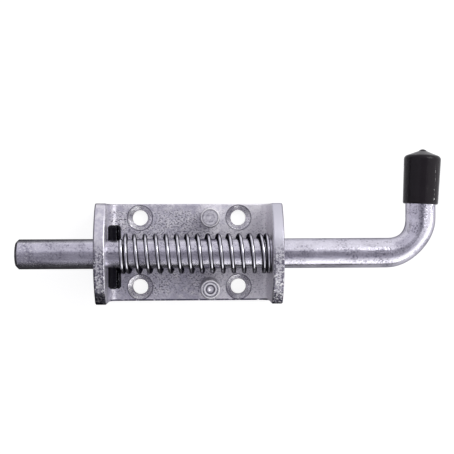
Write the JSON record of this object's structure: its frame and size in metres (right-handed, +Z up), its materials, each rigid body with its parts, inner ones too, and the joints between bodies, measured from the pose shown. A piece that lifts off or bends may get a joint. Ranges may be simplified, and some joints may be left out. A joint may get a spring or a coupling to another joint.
{
  "type": "spring bolt",
  "caption": "Sliding bolt of round bar with a bent, capped handle, pushed out through a folded steel base by a compression spring.",
  "frame": {"origin": "centre of the four screw holes, on the underside of the base", "axes": "+X along the bolt from its nose to its handle, +Y across the base towards the handle's tip, +Z up from the surface the base is screwed to"},
  "size_m": [0.2283, 0.083, 0.0407],
  "materials": {
    "zinc_sheet": "bright zinc plate, slightly mottled",
    "zinc_turned": "bright zinc plate over a turned face",
    "spring_wire": "bright plated wire",
    "zinc_bar": "bright zinc plate over drawn bar",
    "blackened_steel": "blackened spring steel, satin",
    "black_vinyl": "dipped vinyl, glossy"
  },
  "bodies": {
    "base": {"base_plate": "zinc_sheet", "upper_stop_stud": "zinc_turned", "lower_stop_stud": "zinc_turned"},
    "carriage": {"spring": "spring_wire"},
    "bolt": {"bolt_rod": "zinc_bar", "cross_pin": "blackened_steel", "handle_cap": "black_vinyl"}
  },
  "joints": [
    {"name": "bolt_slide", "type": "slide", "parent": "base", "child": "carriage", "axis": [1, 0, 0], "range_m": [0, 0.0422], "stiffness_N_per_m": 2200, "springref_m": -0.02, "deforming": ["spring"]},
    {"name": "bolt_turn", "type": "hinge", "parent": "carriage", "child": "bolt", "pos_m": [0, 0, 0.02603], "axis": [1, 0, 0], "range_deg": [-15, 195]}
  ]
}
